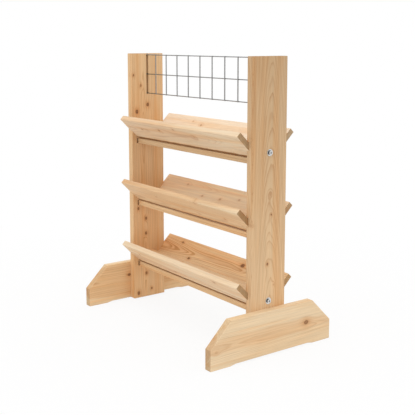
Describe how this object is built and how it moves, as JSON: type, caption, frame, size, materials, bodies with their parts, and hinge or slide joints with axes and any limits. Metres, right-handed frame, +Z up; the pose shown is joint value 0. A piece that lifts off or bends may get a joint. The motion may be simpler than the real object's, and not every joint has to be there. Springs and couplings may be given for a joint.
{
  "type": "planter stand with trellis",
  "caption": "Free-standing softwood stand with V-shaped troughs of tilted boards between two uprights on long feet, and a lift-out wire grid trellis at the top.",
  "frame": {"origin": "on the floor, at the centre of the footprint", "axes": "+X towards the stand's right upright, along the troughs; +Y towards its back; +Z up"},
  "size_m": [0.8, 0.5, 0.95],
  "materials": {
    "left_upright_wood": "planed, unfinished",
    "left_foot_wood": "planed, unfinished",
    "right_upright_wood": "planed, unfinished",
    "right_foot_wood": "planed, unfinished",
    "bottom_rail_wood": "planed, unfinished",
    "bottom_front_board_wood": "planed, unfinished",
    "bottom_back_board_wood": "planed, unfinished",
    "middle_rail_wood": "planed, unfinished",
    "middle_front_board_wood": "planed, unfinished",
    "middle_back_board_wood": "planed, unfinished",
    "top_rail_wood": "planed, unfinished",
    "top_front_board_wood": "planed, unfinished",
    "top_back_board_wood": "planed, unfinished",
    "stretcher_wood": "planed, unfinished",
    "bolt_zinc": "bright zinc plated",
    "washer_zinc": "bright zinc plated",
    "insert_zinc": "zinc plated",
    "dowel_beech": "fluted dowel rod",
    "grid_wire": "plated wire"
  },
  "bodies": {
    "frame": {"left_upright": "left_upright_wood", "left_foot": "left_foot_wood", "right_upright": "right_upright_wood", "right_foot": "right_foot_wood", "bottom_rail": "bottom_rail_wood", "bottom_front_board": "bottom_front_board_wood", "bottom_back_board": "bottom_back_board_wood", "middle_rail": "middle_rail_wood", "middle_front_board": "middle_front_board_wood", "middle_back_board": "middle_back_board_wood", "top_rail": "top_rail_wood", "top_front_board": "top_front_board_wood", "top_back_board": "top_back_board_wood", "bottom_stretcher": "stretcher_wood", "top_stretcher": "stretcher_wood", "left_bolts": "bolt_zinc", "left_washers": "washer_zinc", "left_insert_nuts": "insert_zinc", "left_foot_dowels": "dowel_beech", "right_bolts": "bolt_zinc", "right_washers": "washer_zinc", "right_insert_nuts": "insert_zinc", "right_foot_dowels": "dowel_beech"},
    "grid_panel": {"grid_column_wires": "grid_wire", "grid_row_wires": "grid_wire"}
  },
  "joints": [
    {"name": "grid_lift", "type": "slide", "parent": "frame", "child": "grid_panel", "axis": [0, 0, 1], "range_m": [0, 0.16]}
  ]
}
